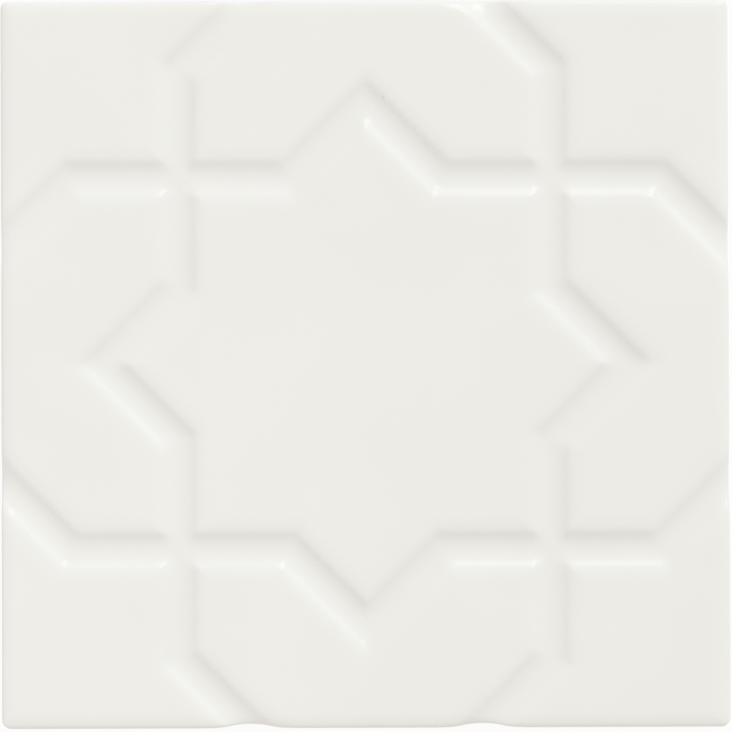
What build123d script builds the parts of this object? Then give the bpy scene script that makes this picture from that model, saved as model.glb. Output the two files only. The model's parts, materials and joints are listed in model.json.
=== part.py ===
from build123d import *
from math import cos, floor, radians, sin, tan
import os

# A square wall tile, pressed, glazed and fired as one piece. Its face carries an eight-pointed star
# and bands as rounded grooves, and its back is keyed with shallow pockets for the bedding mortar.
# Millimetres. The back lies on z = 0, the face looks along +Z, and the origin is under the centre.

# Slab
tile_side = 148.0  # the outline, measured where the sides meet the rim of the face
tile_thickness = 9.0
side_draft = 3.0  # degrees that the sides lean in towards the back
corner_radius = 1.6  # rounding of the four corners, seen from above
back_arris = 0.5  # bevel fettled off the lower edges

# Cushioned rim of the face
rim_width = 4.0  # from the flat of the face out to the sides
rim_angle = 25.0  # degrees of slope where the rim meets the sides
edge_radius = 0.6  # rounding of the edge between the rim and the sides

# Grooves: a hollow cove between two steepest lines, with a rounded lip and a gentle brow on each side
grout_joint = 3.0  # gap to the next tile, across which the pattern runs on
star_turns = range(0, 360, 45)  # degrees at which the points of a star stand
cove_width = 6.0
lip_width = 2.0
brow_width = 2.0
wall_angle = 28.0  # degrees of slope along the steepest lines
brow_angle = 7.5  # degrees of slope where a lip turns into its brow
face_angle = 2.0  # degrees of slope where a brow leaves the flat of the face

# Key on the back: a square grid of pockets with sloping walls
pocket_side = 11.0
pocket_depth = 0.8
pocket_draft = 30.0  # degrees that the walls of a pocket lean in
key_rib = 2.5  # flat left between two pockets
key_border = 6.0  # least flat left along the edges of the back

# What follows from these
pattern_pitch = tile_side + grout_joint  # from one star to the like star on the next tile
star_half = pattern_pitch / 4  # half the side of each of the two squares that cross to make a star

rim_radius = rim_width / sin(radians(rim_angle))
rim_drop = rim_radius * (1 - cos(radians(rim_angle)))
side_height = tile_thickness - rim_drop - back_arris
back_side = tile_side - 2 * side_height * tan(radians(side_draft))  # above the fettled edges

cove_radius = cove_width / 2 / sin(radians(wall_angle))
cove_rise = cove_radius * (1 - cos(radians(wall_angle)))
lip_radius = lip_width / (sin(radians(wall_angle)) - sin(radians(brow_angle)))
lip_rise = lip_radius * (cos(radians(brow_angle)) - cos(radians(wall_angle)))
brow_radius = brow_width / (sin(radians(brow_angle)) - sin(radians(face_angle)))
brow_rise = brow_radius * (cos(radians(face_angle)) - cos(radians(brow_angle)))
groove_depth = cove_rise + lip_rise + brow_rise

pocket_pitch = pocket_side + key_rib
key_width = back_side - 2 * back_arris - 2 * key_border
pocket_count = floor((key_width + key_rib) / pocket_pitch)


def cushion():
    """A long bar whose top is the flat of the face, curving down along two sides to the slope of the rim."""
    flat = Line((0, tile_thickness), (tile_side / 2 - rim_width, tile_thickness))
    curve = JernArc(flat @ 1, flat % 1, rim_radius, -rim_angle)
    slope = Line(curve @ 1, curve @ 1 + (curve % 1) * rim_width)  # runs on past the sides
    reach = (slope @ 1).X
    rest = Polyline(slope @ 1, (reach, -tile_thickness), (0, -tile_thickness), flat @ 0)
    half_bar = extrude(Plane.XZ * make_face([flat, curve, slope, rest]), reach, both=True)
    return half_bar + mirror(half_bar, Plane.YZ)


def blank():
    """The slab before its grooves: fettled foot, drafted sides, cushioned face and a rounded edge."""
    bevel_angle = 45  # degrees that the foot flares out to the sides
    foot_side = back_side - 2 * back_arris
    foot = RectangleRounded(foot_side, foot_side, corner_radius - back_arris)
    foot = extrude(foot, back_arris, taper=-bevel_angle)
    outline = Pos(0, 0, back_arris) * RectangleRounded(back_side, back_side, corner_radius)
    slab = extrude(outline, tile_thickness, taper=-side_draft)
    bar = cushion()
    slab = (foot + slab) & bar & Rot(0, 0, 90) * bar
    sides = slab.faces().filter_by(lambda face: abs(face.normal_at().Z) < sin(radians(2 * side_draft)))
    rim = sides.edges().filter_by(lambda edge: edge.bounding_box().min.Z > tile_thickness / 2)
    return fillet(rim, edge_radius)


def groove_section():
    """Outline of the groove's cutter: cove, lips, brows that run out just above the face, and headroom."""
    run_out_angle = face_angle / 4
    headroom = tile_thickness
    cove = JernArc((0, -groove_depth), (1, 0), cove_radius, wall_angle)
    lip = JernArc(cove @ 1, cove % 1, lip_radius, brow_angle - wall_angle)
    brow = JernArc(lip @ 1, lip % 1, brow_radius, run_out_angle - brow_angle)
    rest = Polyline(brow @ 1, ((brow @ 1).X, headroom), (0, headroom), cove @ 0)
    half_section = make_face([cove, lip, brow, rest])
    return half_section + mirror(half_section, Plane.YZ)


def star_groove():
    """Cutter for the groove round one star: a straight run from a notch to a tip, mitred and repeated."""
    reach = pattern_pitch / 2
    notch = Vector(reach, 0).rotate(Axis.Z, star_turns.step / 2)
    tip = Vector(reach, 0).rotate(Axis.Z, star_turns.step)
    mitred = extrude(make_face(Polyline((0, 0), notch, tip, close=True)), 2 * tile_thickness)
    run = Pos(star_half, 0, tile_thickness) * extrude(Plane.XZ * groove_section(), -reach)
    run = run & mitred
    tip_plane = Plane(origin=(0, 0, 0), z_dir=tip.rotate(Axis.Z, 90))
    point = run + mirror(run, tip_plane)
    return Part() + [Rot(0, 0, turn) * point for turn in star_turns]


def key_pockets():
    """The pockets of the back, as one group of cutters that narrow upwards."""
    grid = GridLocations(pocket_pitch, pocket_pitch, pocket_count, pocket_count)
    return extrude(Sketch() + [place * Rectangle(pocket_side, pocket_side) for place in grid],
                   pocket_depth, taper=pocket_draft)


def star_tile():
    """The tile: a star in the middle, a quarter of a star at each corner, and the keyed back."""
    groove = star_groove()
    tile = blank() - groove
    for corner in GridLocations(pattern_pitch, pattern_pitch, 2, 2):
        tile = tile - corner * groove
    return tile - key_pockets()


os.makedirs("parts", exist_ok=True)
export_step(star_tile(), "parts/star_tile.step")
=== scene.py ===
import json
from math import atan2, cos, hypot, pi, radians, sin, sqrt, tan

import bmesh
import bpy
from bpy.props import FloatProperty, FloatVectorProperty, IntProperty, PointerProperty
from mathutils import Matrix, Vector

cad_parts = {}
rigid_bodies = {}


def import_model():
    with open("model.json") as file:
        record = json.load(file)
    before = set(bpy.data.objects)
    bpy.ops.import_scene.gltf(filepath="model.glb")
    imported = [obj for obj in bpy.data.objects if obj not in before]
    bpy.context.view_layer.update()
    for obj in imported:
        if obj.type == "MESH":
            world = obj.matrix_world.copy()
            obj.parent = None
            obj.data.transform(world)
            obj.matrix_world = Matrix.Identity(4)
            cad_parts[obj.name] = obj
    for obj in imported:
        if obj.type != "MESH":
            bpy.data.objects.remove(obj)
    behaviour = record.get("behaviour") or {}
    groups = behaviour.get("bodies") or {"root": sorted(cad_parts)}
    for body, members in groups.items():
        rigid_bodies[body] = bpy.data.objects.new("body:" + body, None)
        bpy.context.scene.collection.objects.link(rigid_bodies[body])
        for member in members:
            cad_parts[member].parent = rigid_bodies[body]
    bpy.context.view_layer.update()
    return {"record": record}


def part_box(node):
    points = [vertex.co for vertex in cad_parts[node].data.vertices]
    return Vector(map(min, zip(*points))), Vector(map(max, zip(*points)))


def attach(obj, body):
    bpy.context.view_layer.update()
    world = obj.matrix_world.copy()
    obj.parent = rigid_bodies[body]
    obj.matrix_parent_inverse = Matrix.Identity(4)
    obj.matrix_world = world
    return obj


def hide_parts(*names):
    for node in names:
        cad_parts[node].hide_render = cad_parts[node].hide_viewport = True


bl_info = {
    "name": "Star Tile",
    "version": (1, 0, 0),
    "blender": (4, 5, 0),
    "location": "View3D > Sidebar > Star Tile",
    "description": "Models a glazed wall tile with a grooved star, and a pale studio to show it in",
    "category": "Object",
}

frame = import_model()
tile_low, tile_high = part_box("star_tile")
glaze_slot = next(each for each in frame["record"]["materials"] if each["slot"] == "white_glaze")

MM = 0.001
PIECE = "glazed_star_tile"
STAR_POINTS = 8
CORNER_CUTS = 8  # flats that a rounded corner is made of, seen from above
CUT = 1e-7  # how near a vertex may lie to a cut and still be taken as on it
LEVEL = 1e-6  # how far apart two points may lie and still be taken as level, or as one
PINHOLE_SHADES = (  # pinholes: x and y of each on the face, and how strongly its painted shade shows
    (3.9 * MM, 54.1 * MM, 0.25),
    (-37.7 * MM, 36.3 * MM, 0.08),
)
CLOUDS = (0.3, 0.7)  # a cloudy noise lies mostly between these
BLOTCHES = (0.35, 0.65)  # the same for blotches with plainer borders
WHITE = (1, 1, 1, 1)


class TileShape(bpy.types.PropertyGroup):
    """Sizes of the tile"""

    side: FloatProperty(
        name="Side", description="Outline of the face",
        default=tile_high.x - tile_low.x, unit="LENGTH")
    thickness: FloatProperty(
        name="Thickness", description="From the back to the flat of the face",
        default=tile_high.z, unit="LENGTH")
    pattern_pitch: FloatProperty(
        name="Pattern pitch", description="From one star to the like star on the next tile",
        default=151 * MM, unit="LENGTH")
    cove_width: FloatProperty(
        name="Cove width", description="Hollow of a groove, between its two steepest lines",
        default=6 * MM, unit="LENGTH")
    lip_width: FloatProperty(
        name="Lip width", description="Rounded lip along each side of a cove",
        default=1.6 * MM, unit="LENGTH")
    brow_width: FloatProperty(
        name="Brow width", description="Gentle fall of the glaze from the flat of the face to a lip",
        default=2.5 * MM, unit="LENGTH")
    wall_angle: FloatProperty(
        name="Wall angle", description="Slope of a groove along its steepest lines",
        default=radians(28), subtype="ANGLE")
    brow_angle: FloatProperty(
        name="Brow angle", description="Slope where the brow turns into the lip",
        default=radians(7.5), subtype="ANGLE")
    corner_reach: FloatProperty(
        name="Corner reach", description="How far from two grooves the corner of a plate is rounded off",
        default=3.8 * MM, unit="LENGTH")
    rounding: IntProperty(
        name="Rounding", description="Passes that round the bends of the grooves, seen from above",
        default=3)
    tip_rounding: IntProperty(
        name="Tip rounding", description="Passes that round the outer walls of the grooves at the tips",
        default=6)
    softening: IntProperty(
        name="Softening", description="Passes that soften the mitres of the grooves, as the glaze does",
        default=3)
    floor_softening: IntProperty(
        name="Floor softening", description="Passes that even out the floors of the grooves in the bends",
        default=12)
    rim_width: FloatProperty(
        name="Rim width", description="Cushioned rim, from the flat of the face out to the sides",
        default=4.4 * MM, unit="LENGTH")
    rim_angle: FloatProperty(
        name="Rim angle", description="Slope where the rim meets the sides",
        default=radians(30), subtype="ANGLE")
    rim_power: FloatProperty(
        name="Rim power", description="How late the slope of the rim grows towards the sides",
        default=2.5)
    edge_radius: FloatProperty(
        name="Edge radius", description="Rounding of the edge between the rim and the sides",
        default=0.6 * MM, unit="LENGTH")
    corner_radius: FloatProperty(
        name="Corner radius", description="Rounding of the four corners, seen from above",
        default=1.6 * MM, unit="LENGTH")
    side_draft: FloatProperty(
        name="Side draft", description="Lean of the sides towards the back",
        default=radians(3), subtype="ANGLE")
    front_draw: FloatProperty(
        name="Front draw", description="Share of its rim's fall by which the front side is drawn in",
        default=0.57, min=0)
    right_draw: FloatProperty(
        name="Right draw", description="Share of its rim's fall by which the right side is drawn in",
        default=0.06, min=0)
    foot_wave: FloatProperty(
        name="Foot wave", description="Share of the front side's waves that its foot keeps",
        default=0.5, subtype="FACTOR", min=0, max=1)
    back_arris: FloatProperty(
        name="Back arris", description="Bevel fettled off the lower edges",
        default=0.5 * MM, unit="LENGTH")
    pocket_rows: IntProperty(
        name="Pocket rows", description="Rows and columns of pockets in the key of the back",
        default=10)
    pocket_side: FloatProperty(
        name="Pocket side", description="Mouth of a pocket",
        default=11 * MM, unit="LENGTH")
    pocket_depth: FloatProperty(
        name="Pocket depth", description="Depth of a pocket",
        default=0.8 * MM, unit="LENGTH")
    pocket_draft: FloatProperty(
        name="Pocket draft", description="Lean of the walls of a pocket",
        default=radians(30), subtype="ANGLE")
    pocket_rounding: FloatProperty(
        name="Pocket rounding", description="Rounding along the edges of a pocket",
        default=0.22 * MM, unit="LENGTH")
    key_rib: FloatProperty(
        name="Key rib", description="Flat left between two pockets",
        default=2.5 * MM, unit="LENGTH")


class GlazeFinish(bpy.types.PropertyGroup):
    """Colours and surfaces of the glaze and of the biscuit under it"""

    glaze_colour: FloatVectorProperty(
        name="Glaze", description="Off-white glaze",
        default=glaze_slot["base_color"], subtype="COLOR", size=3, min=0, max=1)
    glaze_roughness: FloatProperty(
        name="Glaze roughness", description="Gloss of the glaze",
        default=0.1, subtype="FACTOR", min=0, max=1)
    glaze_thickness: FloatProperty(
        name="Glaze thickness", description="How far the glaze stands out from the biscuit",
        default=0.12 * MM, unit="LENGTH")
    glaze_line: FloatProperty(
        name="Glaze line", description="Height above the back where the glaze ends",
        default=4.5 * MM, unit="LENGTH")
    line_wave: FloatProperty(
        name="Line wave", description="How far the end of the glaze runs up and down",
        default=0.8 * MM, unit="LENGTH")
    wave_height: FloatProperty(
        name="Wave height", description="Height of the slow waves in the glaze",
        default=0.02 * MM, unit="LENGTH")
    ripple_height: FloatProperty(
        name="Ripple height", description="Height of the fine ripple in the glaze",
        default=0.0008 * MM, unit="LENGTH")
    # painted shade that stands for the pits of the pinholes, which are not in the mesh
    pit_shade_colour: FloatVectorProperty(
        name="Pinhole", description="Pinholes in the glaze",
        default=(0.36, 0.33, 0.28), subtype="COLOR", size=3, min=0, max=1)
    biscuit_colour: FloatVectorProperty(
        name="Biscuit", description="Unglazed body on the back and the lower sides",
        default=(0.72, 0.62, 0.50), subtype="COLOR", size=3, min=0, max=1)
    biscuit_roughness: FloatProperty(
        name="Biscuit roughness", description="Roughness of the unglazed body",
        default=0.85, subtype="FACTOR", min=0, max=1)
    grain_height: FloatProperty(
        name="Grain height", description="Height of the grains of the biscuit",
        default=0.06 * MM, unit="LENGTH")


class StudioSetup(bpy.types.PropertyGroup):
    """Floor, light and camera"""

    floor_size: FloatProperty(
        name="Floor size", description="Side of the square floor",
        default=6, unit="LENGTH")
    floor_colour: FloatVectorProperty(
        name="Floor", description="Colour of the floor",
        default=(0.88, 0.88, 0.87), subtype="COLOR", size=3, min=0, max=1)
    floor_whiteness: FloatProperty(
        name="Floor whiteness", description="Share of plain white in the floor, which keeps less shadow",
        default=0.92, subtype="FACTOR", min=0, max=1)
    ambient_colour: FloatVectorProperty(
        name="Ambient", description="Even light from all round",
        default=(0.770, 0.746, 0.715), subtype="COLOR", size=3, min=0)
    lamp_colour: FloatVectorProperty(
        name="Lamp colour", description="Colour of the light of all lamps",
        default=(0.82, 0.9, 1), subtype="COLOR", size=3, min=0)
    lamp_distance: FloatProperty(
        name="Lamp distance", description="From the tile to the lamps, apart from the fill lamp",
        default=4, unit="LENGTH")
    softbox_direction: FloatVectorProperty(
        name="Softbox direction", description="Bearing of the softbox clockwise from +Y, and its height",
        default=(radians(32), radians(38)), unit="ROTATION", size=2)
    softbox_spread: FloatVectorProperty(
        name="Softbox spread", description="Level and upright angle that the softbox takes up",
        default=(radians(26), radians(30)), unit="ROTATION", size=2)
    softbox_strength: FloatProperty(
        name="Softbox", description="Radiance of the softbox that shapes the relief",
        default=5.8)
    fill_direction: FloatVectorProperty(
        name="Fill direction", description="Bearing and height of the weak fill lamp",
        default=(radians(247), radians(38)), unit="ROTATION", size=2)
    fill_spread: FloatVectorProperty(
        name="Fill spread", description="Level and upright angle that the fill lamp takes up",
        default=(radians(40), radians(40)), unit="ROTATION", size=2)
    fill_strength: FloatProperty(
        name="Fill", description="Radiance of the fill lamp",
        default=0.5)
    fill_distance: FloatProperty(
        name="Fill distance",
        description="From the tile to the fill lamp, so near that one side gets more of its light",
        default=0.355, unit="LENGTH")
    sheen_direction: FloatVectorProperty(
        name="Sheen direction",
        description="Bearing and height of the faint reflector that is mirrored in the walls",
        default=(radians(10), radians(39)), unit="ROTATION", size=2)
    sheen_spread: FloatVectorProperty(
        name="Sheen spread", description="Level and upright angle that the faint reflector takes up",
        default=(radians(15), radians(16)), unit="ROTATION", size=2)
    sheen_strength: FloatProperty(
        name="Sheen", description="Radiance of the faint reflector",
        default=0.75)
    glint_direction: FloatVectorProperty(
        name="Glint direction",
        description="Bearing and height of the bright reflector that is mirrored in the corners",
        default=(radians(23), radians(42)), unit="ROTATION", size=2)
    glint_spread: FloatVectorProperty(
        name="Glint spread", description="Level and upright angle that the bright reflector takes up",
        default=(radians(15), radians(28)), unit="ROTATION", size=2)
    glint_strength: FloatProperty(
        name="Glint", description="Radiance of the bright reflector",
        default=1.5)
    camera_lens: FloatProperty(
        name="Lens", description="Focal length of the camera in millimetres",
        default=200)
    camera_view: FloatProperty(
        name="View width", description="Width of the picture at the level of the face",
        default=148.6 * MM, unit="LENGTH")
    camera_tilt: FloatProperty(
        name="Tilt", description="Lean of the camera from straight above the tile towards its front",
        default=radians(0.78), subtype="ANGLE")
    camera_roll: FloatProperty(
        name="Roll", description="Turn of the camera about its own axis, clockwise",
        default=radians(0.21), subtype="ANGLE")
    camera_offset: FloatVectorProperty(
        name="Offset", description="Place that the camera looks at, beside the centre of the tile",
        default=(0.18 * MM, -0.5 * MM), unit="LENGTH", size=2)


def pick(kind, test):
    """Select the verts, edges or faces of the mesh in edit mode that pass a test, and nothing else."""
    modes = {"verts": "VERT", "edges": "EDGE", "faces": "FACE"}
    bpy.ops.mesh.select_mode(type=modes[kind])
    bpy.ops.mesh.select_all(action="DESELECT")
    mesh = bmesh.from_edit_mesh(bpy.context.object.data)
    chosen = [item for item in getattr(mesh, kind) if test(item)]
    if not chosen:
        raise RuntimeError(f"no {kind} were found to work on")
    for item in chosen:
        item.select_set(True)
    mesh.select_flush_mode()
    bmesh.update_edit_mesh(bpy.context.object.data, loop_triangles=False, destructive=False)


def cut(point, normal, trim=False):
    """Bisect what is selected along a plane, and with trim take off what lies beyond it."""
    bpy.ops.mesh.bisect(plane_co=point, plane_no=normal, clear_outer=trim, threshold=CUT)


def cut_all(point, normal, trim=False):
    """Bisect the whole mesh."""
    bpy.ops.mesh.select_all(action="SELECT")
    cut(point, normal, trim)


def displace(direction, amounts):
    """Move the vertices along one axis, each by its own amount, through a weighted modifier."""
    tile = bpy.context.object
    most = max(amounts, key=abs)
    weights = tile.vertex_groups.new(name="amounts")
    for index, amount in enumerate(amounts):
        weights.add([index], amount / most, "REPLACE")
    bpy.ops.object.modifier_add(type="DISPLACE")
    modifier = tile.modifiers[-1]
    modifier.direction = direction
    modifier.vertex_group = weights.name
    modifier.mid_level = 0
    modifier.strength = most
    bpy.ops.object.modifier_apply(modifier=modifier.name)
    tile.vertex_groups.clear()


def bearing(angle):
    """Level unit vector at an angle from +X."""
    return Vector((cos(angle), sin(angle), 0))


def star_gauge(point, centre):
    """How far out from the centre of a star a point lies, with one value all along the star's outline."""
    x = abs(point[0] - centre[0])
    y = abs(point[1] - centre[1])
    return min(max(x, y), (x + y) / sqrt(2))


def plate_of(point, star_half):
    """Which plate of the face a point lies on: the star, one of the corners, or one of the four sides."""
    out = 2 * star_half
    for centre in ((0, 0), (-out, -out), (-out, out), (out, -out), (out, out)):
        if star_gauge(point, centre) < star_half:
            return centre
    return round(atan2(point[1], point[0]) / radians(90)) % 4


def groove_steps(shape):
    """Half of a groove's section, as steps out and up from the middle of its floor to the face."""
    arcs = (  # width, slope at the start, slope at the end, steps
        (shape.cove_width / 2, 0, shape.wall_angle, 10),
        (shape.lip_width, shape.wall_angle, shape.brow_angle, 8),
        (shape.brow_width, shape.brow_angle, 0, 7),
    )
    steps = []
    for width, slope, slope_after, count in arcs:
        radius = width / (sin(slope_after) - sin(slope))
        for step in range(count):
            a = slope + (slope_after - slope) * step / count
            b = slope + (slope_after - slope) * (step + 1) / count
            steps.append((radius * (sin(b) - sin(a)), radius * (cos(a) - cos(b))))
    return steps


def groove_depth(shape):
    """Depth of a groove below the flat of the face."""
    return sum(up for out, up in groove_steps(shape))


def groove_height(shape, out):
    """Height of a groove above its floor, at a distance out from its middle."""
    height = 0
    for step_out, step_up in groove_steps(shape):
        if out < step_out:
            return height + step_up * max(out, 0) / step_out
        out -= step_out
        height += step_up
    return height


def square_corner(shape, point, reach):
    """Distances of a point from the two grooves at a square corner of a plate, if it is within reach."""
    star_half = shape.pattern_pitch / 4
    near, far = sorted(abs(across) for across in point.xy)
    at_crossing = abs(near - star_half), abs(far - star_half)
    in_tip = star_half - (far + near) / sqrt(2), star_half - (far - near) / sqrt(2)
    for offsets in (at_crossing, in_tip):
        if min(offsets) >= 0 and max(offsets) < reach:
            return offsets
    return None


def outline_reach(shape, angle):
    """How far the outline reaches out from the centre along a direction."""
    to_corner_centre = shape.side / 2 - shape.corner_radius
    return to_corner_centre * (abs(cos(angle)) + abs(sin(angle))) + shape.corner_radius


def inside_outline(shape, point):
    """Distance of a point inside the outline with its rounded corners."""
    to_corner_centre = shape.side / 2 - shape.corner_radius
    x = abs(point.x) - to_corner_centre
    y = abs(point.y) - to_corner_centre
    beyond = hypot(max(x, 0), max(y, 0)) + min(max(x, y), 0)
    return shape.corner_radius - beyond


def rim_fall(shape, inside):
    """How far the cushioned rim lies below the flat of the face, at a distance inside one side."""
    share = max(1 - inside / shape.rim_width, 0)
    fall = shape.rim_width * tan(shape.rim_angle) / (shape.rim_power + 1)
    return fall * share ** (shape.rim_power + 1)


def edge_fall(shape, inside):
    """How far the rounded edge lies below the rim, at a distance inside the outline."""
    run = min(max(shape.edge_radius - inside, 0), shape.edge_radius)
    return shape.edge_radius - sqrt(shape.edge_radius ** 2 - run ** 2)


def edge_rise(shape, inside):
    """How far the rim and its rounded edge rise from the outline to a distance inside it."""
    outermost = rim_fall(shape, 0) + shape.edge_radius
    return outermost - rim_fall(shape, inside) - edge_fall(shape, inside)


def edge_rails(shape):
    """Distances inside the outline of the rails that the rounded edge turns along."""
    turns = (80, 65, 50, 35, 20, 0)  # degrees round the edge, from the sides to the rim
    return [shape.edge_radius * (1 - sin(radians(turn))) for turn in turns]


def lay_out_pattern(shape):
    """Lay a sheet at the floor of the grooves and cut it along their middles, one face for each plate."""
    spare = 14 * MM  # sheet left over all round
    straight = radians(179)
    reach = shape.side / 2 + spare
    star_half = shape.pattern_pitch / 4
    corner_line = star_half * (2 * sqrt(2) - 1)  # where the slanting sides of the corner stars lie
    bpy.ops.mesh.primitive_plane_add(size=2 * reach)
    bpy.context.object.name = PIECE
    bpy.ops.object.mode_set(mode="EDIT")
    bpy.ops.transform.translate(value=(0, 0, shape.thickness - groove_depth(shape)))
    point_angle = 2 * pi / STAR_POINTS
    for turn in range(STAR_POINTS):
        out = bearing(turn * point_angle)
        cut_all(out * star_half, out)
        if turn % 2:
            cut_all(out * corner_line, out)
    mesh = bmesh.from_edit_mesh(bpy.context.object.data)
    plates = {plate_of(face.calc_center_median(), star_half) for face in mesh.faces}
    for plate in sorted(plates, key=str):
        pick("faces", lambda face: plate_of(face.calc_center_median(), star_half) == plate)
        bpy.ops.mesh.dissolve_faces(use_verts=False)
    pick("verts", lambda vert: len(vert.link_edges) == 2 and passes_straight(vert, straight))
    bpy.ops.mesh.dissolve_verts()


def passes_straight(vert, least):
    """Whether the two edges at a vertex lie in line."""
    a, b = (edge.other_vert(vert).co - vert.co for edge in vert.link_edges)
    return a.angle(b) > least


def raise_plates(shape):
    """Raise every plate out of the sheet by narrow insets, one after another, along a groove's section."""
    margin = 0.4 * MM  # level strip beside the brow
    pick("faces", lambda face: True)
    for out, up in groove_steps(shape):
        bpy.ops.mesh.inset(thickness=out, depth=up, use_even_offset=True, use_individual=True)
    bpy.ops.mesh.inset(thickness=margin, depth=0, use_even_offset=True, use_individual=True)


def round_corners(shape):
    """Trim the corners of the sheet round, and mark rails along them for the rounded edge."""
    for turn in range(4 * CORNER_CUTS):
        if turn % CORNER_CUTS:
            angle = turn * radians(90) / CORNER_CUTS
            out = bearing(angle)
            reach = outline_reach(shape, angle)
            cut_all(out * reach, out, trim=True)
            for inside in edge_rails(shape):
                cut_all(out * (reach - inside), out)


def soften_mitres(shape):
    """Divide the runs of the grooves, round the corners of the plates, and soften the mitres."""
    run_cuts = 27
    longest = 6 * MM  # an edge along a groove that is longer gets divided
    to_tip = shape.pattern_pitch / sqrt(8)  # from the centre out to a tip of the star
    low_wall = shape.thickness - groove_depth(shape) * 3 / 4  # a quarter of the way up the walls

    def is_level(edge):
        return abs(edge.verts[0].co.z - edge.verts[1].co.z) < LEVEL

    pick("edges", lambda edge: not is_level(edge))
    bpy.ops.mesh.mark_seam()
    pick("edges", lambda edge: is_level(edge) and edge.calc_length() > longest and not edge.is_boundary)
    bpy.ops.mesh.subdivide(number_cuts=run_cuts, quadcorner="INNERVERT")
    bpy.ops.object.mode_set(mode="OBJECT")
    round_square_corners(shape)
    bpy.ops.object.mode_set(mode="EDIT")
    pick_mitres(shape, rings=3, highest=shape.thickness)
    smooth_places(shape.rounding)
    pick_mitres(shape, rings=4, highest=shape.thickness, beyond=to_tip)
    smooth_places(shape.tip_rounding)
    pick_mitres(shape, rings=2, highest=shape.thickness)
    smooth_heights(shape.softening)
    pick_mitres(shape, rings=3, highest=low_wall)
    smooth_heights(shape.floor_softening)
    bpy.ops.mesh.select_all(action="SELECT")
    bpy.ops.mesh.mark_seam(clear=True)


def round_square_corners(shape):
    """Round the square corners of the plates, steep to their top, and level the floor between them."""
    reach = shape.corner_reach
    amounts = []
    for vert in bpy.context.object.data.vertices:
        offsets = square_corner(shape, vert.co, reach)
        rise = 0
        if offsets:
            rounded = reach - hypot(*(reach - offset for offset in offsets))
            rise = groove_height(shape, rounded) - groove_height(shape, min(offsets))
        amounts.append(rise)
    displace("Z", amounts)


def pick_mitres(shape, rings, highest, beyond=0.0):
    """Select the marked mitres of the bends up to a height, with some rings of the mesh round them.

    Where a distance is given as beyond, only those at the tips of the star and further out are taken.
    """
    square_reach = 2 * shape.cove_width

    def in_bend(edge):
        middle = (edge.verts[0].co + edge.verts[1].co) / 2
        near, far = sorted(abs(across) for across in middle.xy)
        wanted = not beyond or (far > beyond and near < shape.cove_width / 2)
        low_enough = max(vert.co.z for vert in edge.verts) < highest
        return edge.seam and wanted and low_enough and not square_corner(shape, middle, square_reach)

    pick("edges", in_bend)
    for ring in range(rings):
        bpy.ops.mesh.select_more()


def smooth_places(passes):
    """Even out the places of what is selected, seen from above."""
    bpy.ops.mesh.vertices_smooth(factor=0.5, repeat=passes, zaxis=False)


def smooth_heights(passes):
    """Even out the heights of what is selected."""
    bpy.ops.mesh.vertices_smooth(factor=0.5, repeat=passes, xaxis=False, yaxis=False)


def trim_sides(shape):
    """Trim the sides of the sheet straight, and mark rails along them for the rim and the rounded edge."""
    rim_shares = (0.22, 0.32, 0.43, 0.55, 0.67, 0.78, 0.89, 1)  # of the rim's width
    rails = edge_rails(shape) + [shape.rim_width * share for share in rim_shares]
    strip = 1.2 * shape.rim_width  # a little more than the rim, the rest is hidden from the cuts
    for turn in range(4):
        out = bearing(turn * radians(90))
        pick("faces", lambda face: max(vert.co.dot(out) for vert in face.verts) > shape.side / 2 - strip)
        bpy.ops.mesh.hide(unselected=True)
        cut_all(out * shape.side / 2, out, trim=True)
        for inside in rails:
            cut_all(out * (shape.side / 2 - inside), out)
        bpy.ops.mesh.reveal(select=False)


def lower_rim(shape):
    """Lower the rim to its cushioned curve and rounded edge, together with the grooves that cross it."""
    falls = []
    for vert in bpy.context.object.data.vertices:
        sides = [rim_fall(shape, shape.side / 2 - abs(across)) for across in vert.co.xy]
        falls.append(-hypot(*sides) - edge_fall(shape, inside_outline(shape, vert.co)))
    displace("Z", falls)


def draw_in_sides(shape):
    """Draw the front and the right side in where their rim lies low: at the grooves and the corners."""
    fade = 2.5 * MM  # how far inside the outline the drawing in ends
    rim_level = shape.thickness - rim_fall(shape, 0) - shape.edge_radius
    vertices = bpy.context.object.data.vertices
    for direction, side, draw in (("Y", -1, shape.front_draw), ("X", 1, shape.right_draw)):
        amounts = []
        for vert in vertices:
            across = vert.co.y if direction == "Y" else vert.co.x
            inside = shape.side / 2 - side * across
            low = rim_level + edge_rise(shape, inside) - vert.co.z
            share = max(1 - inside / fade, 0) ** 2
            amounts.append(-side * draw * max(low, 0) * share)
        displace(direction, amounts)


def draw_down(level, inset, side):
    """Extrude the open edge of the mesh down to a level, and draw it in towards the centre."""
    pick("edges", lambda edge: edge.is_boundary)
    bpy.ops.mesh.extrude_region_move()
    shrink = 1 - 2 * inset / side
    bpy.ops.transform.resize(value=(shrink, shrink, 0), center_override=(0, 0, level))


def straighten_foot(shape, front):
    """Bring the foot of the front side nearer to a straight line, between the rounded corners."""
    straight_half = shape.side / 2 - 2 * shape.corner_radius
    near_front = front + shape.corner_radius

    def on_front(vert):
        return vert.is_boundary and vert.co.y < near_front and abs(vert.co.x) < straight_half

    pick("verts", on_front)
    bpy.ops.transform.resize(value=(1, shape.foot_wave, 1), center_override=(0, front, 0))


def add_sides_and_back(shape):
    """Extrude the sides down to the back, with their draft and fettled edge, and close the back."""
    height = shape.thickness - shape.back_arris
    inset = height * tan(shape.side_draft)
    draw_down(shape.back_arris, inset, shape.side)
    straighten_foot(shape, inset - shape.side / 2)
    draw_down(0, shape.back_arris, shape.side - 2 * inset)
    pick("edges", lambda edge: edge.is_boundary)
    bpy.ops.mesh.edge_face_add()


def key_half(shape):
    """Half the width of the key, with half a rib round it."""
    return shape.pocket_rows * (shape.pocket_side + shape.key_rib) / 2


def in_key(face, shape):
    """Whether a face lies within the square of the key, seen from above."""
    centre = face.calc_center_median()
    return max(abs(centre.x), abs(centre.y)) < key_half(shape)


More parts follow.
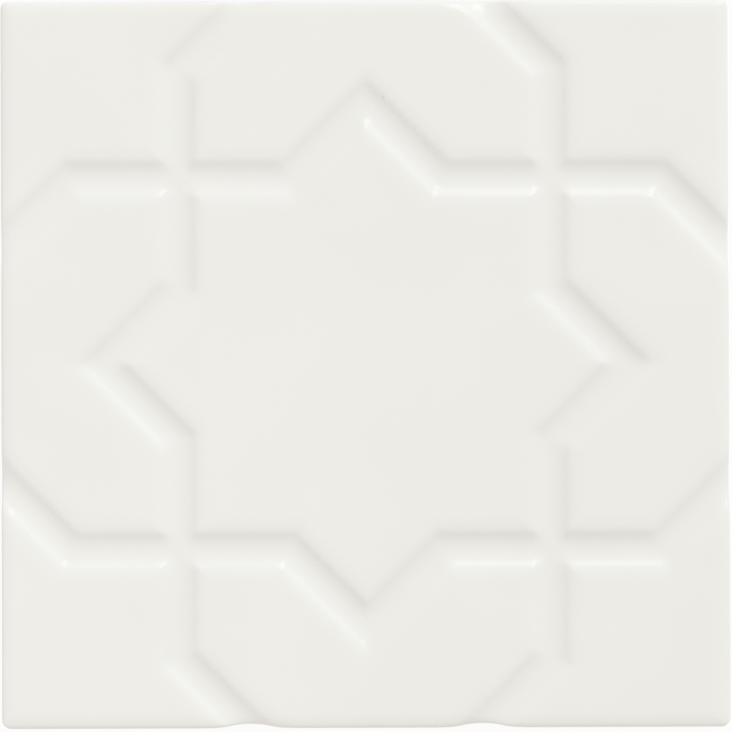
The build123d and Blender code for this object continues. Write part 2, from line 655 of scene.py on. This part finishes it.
def in_wall(face, shape):
    """Whether a face is a sloping wall of a pocket."""
    heights = [vert.co.z for vert in face.verts]
    low = max(heights) < 2 * shape.pocket_depth
    sloping = max(heights) - min(heights) > shape.pocket_depth / 2
    return low and sloping and in_key(face, shape)


def key_back(shape):
    """Divide the back into squares and sink a pocket with sloping walls and rounded edges into each."""
    pitch = shape.pocket_side + shape.key_rib
    lean = shape.pocket_depth * tan(shape.pocket_draft)

    def on_back(face):
        return max(vert.co.z for vert in face.verts) < LEVEL

    for row in range(shape.pocket_rows + 1):
        for out in (Vector((1, 0, 0)), Vector((0, 1, 0))):
            pick("faces", on_back)
            cut(out * (row * pitch - key_half(shape)), out)
    pick("faces", lambda face: on_back(face) and in_key(face, shape))
    for thickness, depth in ((shape.key_rib / 2, 0), (lean, -shape.pocket_depth)):
        bpy.ops.mesh.inset(thickness=thickness, depth=depth, use_even_offset=True, use_individual=True)
    pick("edges", lambda edge: any(in_wall(face, shape) for face in edge.link_faces))
    bpy.ops.mesh.bevel(offset=shape.pocket_rounding, segments=3, affect="EDGES", clamp_overlap=True)


def close_up():
    """Merge what lies in one place, turn all faces outwards and shade the curves smooth."""
    sharpest = radians(35)  # edges up to this are shaded smooth
    bpy.ops.mesh.select_all(action="SELECT")
    bpy.ops.mesh.remove_doubles(threshold=LEVEL)
    bpy.ops.mesh.select_all(action="SELECT")
    bpy.ops.mesh.normals_make_consistent(inside=False)
    bpy.ops.object.mode_set(mode="OBJECT")
    bpy.ops.object.shade_smooth_by_angle(angle=sharpest)


class STARTILE_OT_tile(bpy.types.Operator):
    """Model the tile as one closed mesh, glaze it and put it in the place of the plain solid"""

    bl_idname = "star_tile.tile"
    bl_label = "Tile"

    def execute(self, context):
        shape = context.scene.tile_shape
        bpy.ops.object.select_all(action="DESELECT")
        lay_out_pattern(shape)
        raise_plates(shape)
        round_corners(shape)
        soften_mitres(shape)
        trim_sides(shape)
        bpy.ops.object.mode_set(mode="OBJECT")
        lower_rim(shape)
        draw_in_sides(shape)
        bpy.ops.object.mode_set(mode="EDIT")
        add_sides_and_back(shape)
        key_back(shape)
        close_up()
        tile = context.object
        tile.data.materials.append(glaze_and_biscuit(context.scene.tile_finish))
        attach(tile, "root")
        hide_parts("star_tile")
        return {"FINISHED"}


class NodeMaker:
    """Adds nodes to one tree. An input is a value or another node's output, by its name or number."""

    def __init__(self, tree):
        tree.nodes.clear()
        self.tree = tree

    def add(self, kind, inputs=None, **settings):
        """Add a node with its settings and inputs, and give its outputs."""
        node = self.tree.nodes.new(kind)
        for name, value in settings.items():
            setattr(node, name, value)
        for socket, value in (inputs or {}).items():
            if isinstance(value, bpy.types.NodeSocket):
                self.tree.links.new(value, node.inputs[socket])
            else:
                node.inputs[socket].default_value = value
        return node.outputs

    def cloud(self, place, size, detail=2):
        """Cloudy noise with blotches of about a size, from 0 to 1."""
        inputs = {"Vector": place, "Scale": 1 / size, "Detail": detail}
        return self.add("ShaderNodeTexNoise", inputs)["Fac"]

    def between(self, value, low, high, to_low=0.0, to_high=1.0, curve="LINEAR"):
        """A value brought from one range to another, and kept within it."""
        inputs = {0: value, 1: low, 2: high, 3: to_low, 4: to_high}
        return self.add("ShaderNodeMapRange", inputs, interpolation_type=curve)[0]

    def maths(self, operation, a, b):
        """One value worked out from two."""
        return self.add("ShaderNodeMath", {0: a, 1: b}, operation=operation)[0]

    def mixed(self, share, a, b):
        """Colour a, with a share of it turned to colour b."""
        return self.add("ShaderNodeMix", {0: share, 6: a, 7: b}, data_type="RGBA")[2]

    def blended(self, share, a, b):
        """Value a, with a share of it turned to value b."""
        return self.add("ShaderNodeMix", {0: share, 2: a, 3: b}, data_type="FLOAT")[0]


def new_material(name):
    """An empty material, and the maker of its nodes."""
    material = bpy.data.materials.new(name)
    material.use_nodes = True
    return material, NodeMaker(material.node_tree)


def shade(colour, share=1):
    """A colour dimmed to a share, with its alpha."""
    return (*(channel * share for channel in colour), 1)


def glaze_cover(nodes, place, finish):
    """1 where glaze covers the body, down to a wavy line along the sides, and 0 below it."""
    run_size = 9 * MM
    line_blur = 0.5 * MM
    height = nodes.add("ShaderNodeSeparateXYZ", {"Vector": place})["Z"]
    run = nodes.between(nodes.cloud(place, run_size), *CLOUDS, -finish.line_wave, finish.line_wave)
    line = finish.glaze_line
    return nodes.between(nodes.maths("ADD", height, run), line, line + line_blur, curve="SMOOTHSTEP")


def glaze_tint(nodes, place, finish):
    """Off-white in two shades that are hardly apart, with a few pinholes drawn as round spots of painted
    shade.
    """
    blotch_size = 28 * MM
    blotch_shade = 0.988
    hole_radius = 0.1 * MM
    hole_rim = 0.35 * MM
    blotches = nodes.between(nodes.cloud(place, blotch_size), *BLOTCHES)
    tint = nodes.mixed(blotches, shade(finish.glaze_colour), shade(finish.glaze_colour, blotch_shade))
    plan = nodes.add("ShaderNodeVectorMath", {0: place, 1: (1, 1, 0)}, operation="MULTIPLY")["Vector"]
    # each pinhole is a round spot of painted shade, a warm dark grey, where its pit would be
    for x, y, strength in PINHOLE_SHADES:
        apart = nodes.add("ShaderNodeVectorMath", {0: plan, 1: (x, y, 0)}, operation="DISTANCE")["Value"]
        pit_shade = nodes.between(apart, hole_radius, hole_rim, strength, 0)
        tint = nodes.mixed(pit_shade, tint, shade(finish.pit_shade_colour))
    return tint


def biscuit_tint(nodes, place, grain, finish):
    """Pale clay in soft blotches, with darker grains."""
    blotch_size = 6 * MM
    blotch_shade = 0.9
    grain_shade = 0.7
    grain_share = 0.35
    grain_band = (0.6, 0.75)  # where in the noise grains start to show, and show fully
    blotches = nodes.between(nodes.cloud(place, blotch_size, detail=4), *BLOTCHES)
    clay = nodes.mixed(blotches, shade(finish.biscuit_colour), shade(finish.biscuit_colour, blotch_shade))
    grains = nodes.between(grain, *grain_band, 0, grain_share)
    return nodes.mixed(grains, clay, shade(finish.biscuit_colour, grain_shade))


def glaze_relief(nodes, place, finish):
    """Height of the glaze above the biscuit: its thickness, slow waves and a fine ripple."""
    wave_size = 14 * MM
    ripple_size = 1.6 * MM
    waves = nodes.between(nodes.cloud(place, wave_size, detail=1), 0, 1, 0, finish.wave_height)
    ripple = nodes.between(nodes.cloud(place, ripple_size, detail=1), 0, 1, 0, finish.ripple_height)
    return nodes.maths("ADD", nodes.maths("ADD", waves, ripple), finish.glaze_thickness)


def glaze_gloss(nodes, place, finish):
    """Roughness of the glaze, a little uneven."""
    patch_size = 12 * MM
    unevenness = 0.1
    smoothest = finish.glaze_roughness * (1 - unevenness)
    roughest = finish.glaze_roughness * (1 + unevenness)
    return nodes.between(nodes.cloud(place, patch_size), *CLOUDS, smoothest, roughest)


def glaze_and_biscuit(finish):
    """Glossy off-white glaze on the face and upper sides, ending in a wavy line above matt biscuit."""
    material, nodes = new_material("white_glaze")
    grain_size = 0.35 * MM
    glass_ior = 1.5
    place = nodes.add("ShaderNodeTexCoord")["Object"]
    grain = nodes.cloud(place, grain_size, detail=3)
    glazed = glaze_cover(nodes, place, finish)
    clay = biscuit_tint(nodes, place, grain, finish)
    tint = nodes.mixed(glazed, clay, glaze_tint(nodes, place, finish))
    gloss = nodes.blended(glazed, finish.biscuit_roughness, glaze_gloss(nodes, place, finish))
    grains = nodes.between(grain, 0, 1, 0, finish.grain_height)
    height = nodes.blended(glazed, grains, glaze_relief(nodes, place, finish))
    relief = nodes.add("ShaderNodeBump", {"Height": height, "Distance": 1, "Strength": 1})["Normal"]
    surface = nodes.add("ShaderNodeBsdfPrincipled", {
        "Base Color": tint,
        "Roughness": gloss,
        "IOR": glass_ior,
        "Normal": relief,
    })
    nodes.add("ShaderNodeOutputMaterial", {"Surface": surface["BSDF"]})
    return material


def seen_directly(nodes):
    """1 for rays that show a thing itself: from the camera, or by a mirror or through glass."""
    rays = nodes.add("ShaderNodeLightPath")
    shown = nodes.maths("MAXIMUM", rays["Is Camera Ray"], rays["Is Glossy Ray"])
    return nodes.maths("MAXIMUM", shown, rays["Is Transmission Ray"])


def pale_floor(studio):
    """A pale floor that looks white and keeps a faint shadow."""
    material, nodes = new_material("pale_floor")
    lit = nodes.add("ShaderNodeBsdfDiffuse", {"Color": shade(studio.floor_colour)})["BSDF"]
    white = nodes.add("ShaderNodeEmission", {"Color": WHITE, "Strength": 1})["Emission"]
    share = nodes.maths("MULTIPLY", seen_directly(nodes), studio.floor_whiteness)
    mix = nodes.add("ShaderNodeMixShader", {0: share, 1: lit, 2: white})["Shader"]
    nodes.add("ShaderNodeOutputMaterial", {"Surface": mix})
    return material


def lay_floor(studio):
    """Lay the floor under the tile."""
    bpy.ops.mesh.primitive_plane_add(size=studio.floor_size)
    floor = bpy.context.object
    floor.name = "floor"
    floor.data.materials.append(pale_floor(studio))


def light_all_round(scene, studio):
    """Even light from all round, white where it is seen directly."""
    scene.world = bpy.data.worlds.new("studio")
    scene.world.use_nodes = True
    nodes = NodeMaker(scene.world.node_tree)
    colour = nodes.mixed(seen_directly(nodes), shade(studio.ambient_colour), WHITE)
    light = nodes.add("ShaderNodeBackground", {"Color": colour, "Strength": 1})["Background"]
    nodes.add("ShaderNodeOutputWorld", {"Surface": light})


def hang_lamp(studio, name, distance, target, mirrored):
    """Hang a flat lamp turned to the tile, which lights it or, where mirrored, only shows in its glaze."""
    breadth, length = (2 * distance * tan(angle / 2) for angle in getattr(studio, f"{name}_spread"))
    lamp_bearing, height = getattr(studio, f"{name}_direction")
    level = bearing(radians(90) - lamp_bearing)
    away = level * cos(height) + Vector((0, 0, sin(height)))
    bpy.ops.object.light_add(type="AREA", location=target + away * distance)
    lamp = bpy.context.object
    lamp.name = name
    lamp.rotation_euler = away.to_track_quat("Z", "Y").to_euler()
    lamp.data.shape = "RECTANGLE"
    lamp.data.size = breadth
    lamp.data.size_y = length
    lamp.data.color = studio.lamp_colour
    lamp.data.energy = getattr(studio, f"{name}_strength") * breadth * length * pi
    lamp.visible_camera = False
    lamp.visible_diffuse = not mirrored
    lamp.visible_glossy = mirrored


def set_camera(scene, studio, face_level):
    """Camera above the tile, with +Y up in the picture."""
    sensor = 36  # millimetres
    above = studio.camera_view * studio.camera_lens / sensor
    aim = Vector((*studio.camera_offset, face_level))
    turn = Matrix.Rotation(studio.camera_tilt, 3, "X") @ Matrix.Rotation(-studio.camera_roll, 3, "Z")
    bpy.ops.object.camera_add(location=aim + turn @ Vector((0, 0, above)), rotation=turn.to_euler())
    camera = bpy.context.object
    camera.name = "camera"
    camera.data.lens = studio.camera_lens
    camera.data.sensor_width = sensor
    camera.data.clip_start = 10 * MM
    scene.camera = camera


class STARTILE_OT_stage(bpy.types.Operator):
    """Lay the floor, light it and set the camera above the tile"""

    bl_idname = "star_tile.stage"
    bl_label = "Stage"

    def execute(self, context):
        studio = context.scene.tile_studio
        face_level = context.scene.tile_shape.thickness
        target = Vector((0, 0, face_level))
        bpy.ops.object.select_all(action="DESELECT")
        lay_floor(studio)
        light_all_round(context.scene, studio)
        hang_lamp(studio, "softbox", studio.lamp_distance, target, mirrored=False)
        hang_lamp(studio, "fill", studio.fill_distance, target, mirrored=False)
        hang_lamp(studio, "sheen", studio.lamp_distance, target, mirrored=True)
        hang_lamp(studio, "glint", studio.lamp_distance, target, mirrored=True)
        set_camera(context.scene, studio, face_level)
        context.scene.view_settings.view_transform = "Standard"
        return {"FINISHED"}


class STARTILE_PT_panel(bpy.types.Panel):
    """Sizes, finish and studio of the star tile"""

    bl_idname = "STARTILE_PT_panel"
    bl_label = "Star Tile"
    bl_space_type = "VIEW_3D"
    bl_region_type = "UI"
    bl_category = "Star Tile"

    def draw(self, context):
        scene = context.scene
        boxes = (
            (scene.tile_shape, None),
            (scene.tile_finish, "star_tile.tile"),
            (scene.tile_studio, "star_tile.stage"),
        )
        for settings, operator in boxes:
            box = self.layout.box()
            for name in settings.bl_rna.properties.keys():
                if name not in ("rna_type", "name"):
                    box.prop(settings, name)
            if operator:
                box.operator(operator)


classes = (TileShape, GlazeFinish, StudioSetup, STARTILE_OT_tile, STARTILE_OT_stage, STARTILE_PT_panel)


def register():
    """Make the settings, operators and panel known."""
    for each in classes:
        bpy.utils.register_class(each)
    bpy.types.Scene.tile_shape = PointerProperty(type=TileShape)
    bpy.types.Scene.tile_finish = PointerProperty(type=GlazeFinish)
    bpy.types.Scene.tile_studio = PointerProperty(type=StudioSetup)


def unregister():
    """Take them out again."""
    del bpy.types.Scene.tile_shape
    del bpy.types.Scene.tile_finish
    del bpy.types.Scene.tile_studio
    for each in reversed(classes):
        bpy.utils.unregister_class(each)


def main():
    """Model the tile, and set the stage."""
    register()
    bpy.ops.star_tile.tile()
    bpy.ops.star_tile.stage()


if __name__ == "__main__":
    main()
